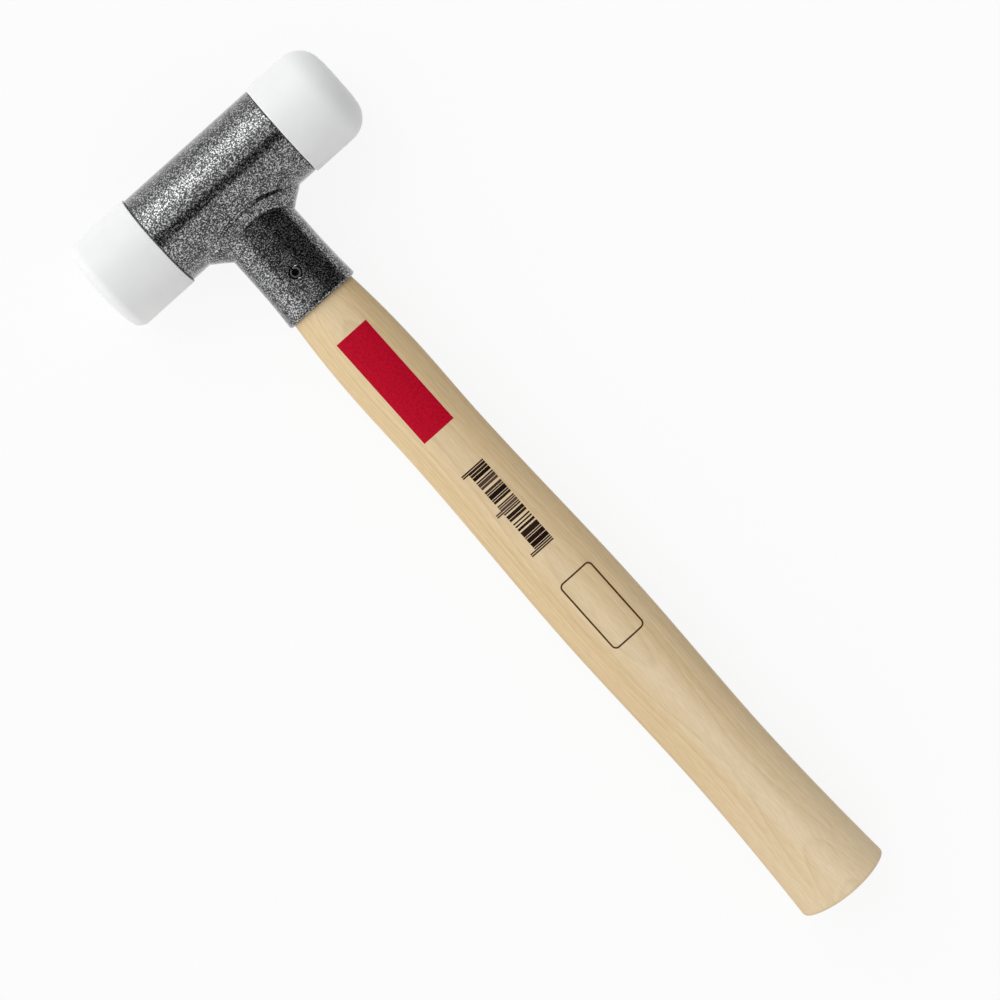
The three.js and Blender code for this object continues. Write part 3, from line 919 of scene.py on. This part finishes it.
def white_floor():
    """A wide white floor that keeps the hammer's soft shadow."""
    bpy.ops.object.select_all(action="DESELECT")
    bpy.ops.mesh.primitive_plane_add(size=FLOOR_SIZE)
    floor = bpy.context.object
    floor.name = "studio_floor"
    material = bpy.data.materials.new("studio_white")
    material.use_nodes = True
    tree = material.node_tree
    tree.nodes.clear()
    rays = add(tree, "ShaderNodeLightPath").outputs
    seen = calc(tree, "MAXIMUM", rays["Is Camera Ray"], rays["Is Glossy Ray"])
    seen = calc(tree, "MAXIMUM", seen, rays["Is Transmission Ray"])
    paper = add(tree, "ShaderNodeBsdfDiffuse", {"Color": opaque(grey(FLOOR_PAPER))})
    glow = add(tree, "ShaderNodeEmission", {"Color": opaque(grey(1)), "Strength": 1.0})
    blend = add(
        tree,
        "ShaderNodeMixShader",
        {0: calc(tree, "MULTIPLY", seen, FLOOR_GLOW), 1: paper.outputs[0], 2: glow.outputs[0]},
    )
    add(tree, "ShaderNodeOutputMaterial", {"Surface": blend.outputs[0]})
    floor.data.materials.append(material)


def softbox():
    """One large square soft light beyond the head."""
    bpy.ops.object.light_add(type="AREA", location=SOFTBOX_AT)
    lamp = bpy.context.object
    lamp.name = "head_softbox"
    lamp.data.size = SOFTBOX_SIZE
    lamp.data.energy = SOFTBOX_POWER
    lamp.rotation_euler = (SOFTBOX_AIM - SOFTBOX_AT).to_track_quat("-Z", "Y").to_euler()


def dark_flag(tree, way, side, size):
    """Share of the light that a soft-edged oval flag leaves, one all round it."""
    offset = vector_calc(tree, "DIVIDE", vector_calc(tree, "SUBTRACT", way, side), size)
    return add(
        tree,
        "ShaderNodeMapRange",
        {
            "Value": vector_calc(tree, "LENGTH", offset, result="Value"),
            "From Min": FLAG_EDGE[0],
            "From Max": FLAG_EDGE[1],
            "To Min": 1,
            "To Max": FLAG_LIGHT,
        },
        interpolation_type="SMOOTHSTEP",
    ).outputs[0]


def white_room():
    """White walls all round, brightest on the key side, with dark flags overhead."""
    world = bpy.data.worlds.new("white_room")
    world.use_nodes = True
    tree = world.node_tree
    way = add(tree, "ShaderNodeTexCoord").outputs["Generated"]
    keyward = vector_calc(tree, "DOT_PRODUCT", way, KEY_SIDE.normalized(), result="Value")
    light = add(
        tree,
        "ShaderNodeMapRange",
        {"Value": keyward, "From Min": -1, "From Max": 1, "To Min": WALLS[0], "To Max": WALLS[1]},
    ).outputs[0]
    for side, size in FLAGS:
        light = calc(tree, "MULTIPLY", light, dark_flag(tree, way, side, size))
    shader = tree.nodes["Background"]
    tree.links.new(light, shader.inputs["Strength"])
    shader.inputs["Color"].default_value = opaque(grey(1))
    bpy.context.scene.world = world


def studio():
    """Floor, one large soft light and a white room."""
    white_floor()
    softbox()
    white_room()
    bpy.context.scene.view_settings.view_transform = "Standard"


def camera():
    """The photograph's view, from above."""
    back = (CAMERA_AT - CAMERA_AIM).normalized()
    right = Vector((math.cos(PICTURE_UP), math.sin(PICTURE_UP), 0)).cross(back).normalized()
    up = back.cross(right)
    turned = Matrix((right, up, back)).transposed().to_4x4()
    bpy.ops.object.camera_add()
    eye = bpy.context.object
    eye.name = "photo_camera"
    eye.matrix_world = LAID_DOWN @ Matrix.Translation(CAMERA_AT) @ turned
    eye.data.lens = CAMERA_LENS
    eye.data.sensor_width = CAMERA_SENSOR
    bpy.context.scene.camera = eye


camera()
studio()

paint = hammertone_paint()
nylon = white_nylon()
wood = hickory_wood()
pin_steel = bare_steel("spring_steel", 0.15, 0.35)
plain_steel = bare_steel("plain_steel", 0.45, 0.3)

lay_down(head_tube(), paint, "head_tube")
lay_down(handle_socket(), paint, "handle_socket")
crisp = striking_face("striking_face_crisp", CRISP_FACE, -1)
lay_down(crisp, nylon, "striking_face_flat")
rounded = striking_face("striking_face_rounded", ROUND_FACE, 1)
lay_down(rounded, nylon, "striking_face_round")
lay_down(handle(), wood, "handle")
lay_down(handle_pin(), pin_steel, "handle_pin")

for name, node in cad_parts.items():
    if name.startswith(("shot_ball", "chamber_plug")):
        node.data.materials.clear()
        node.data.materials.append(plain_steel)
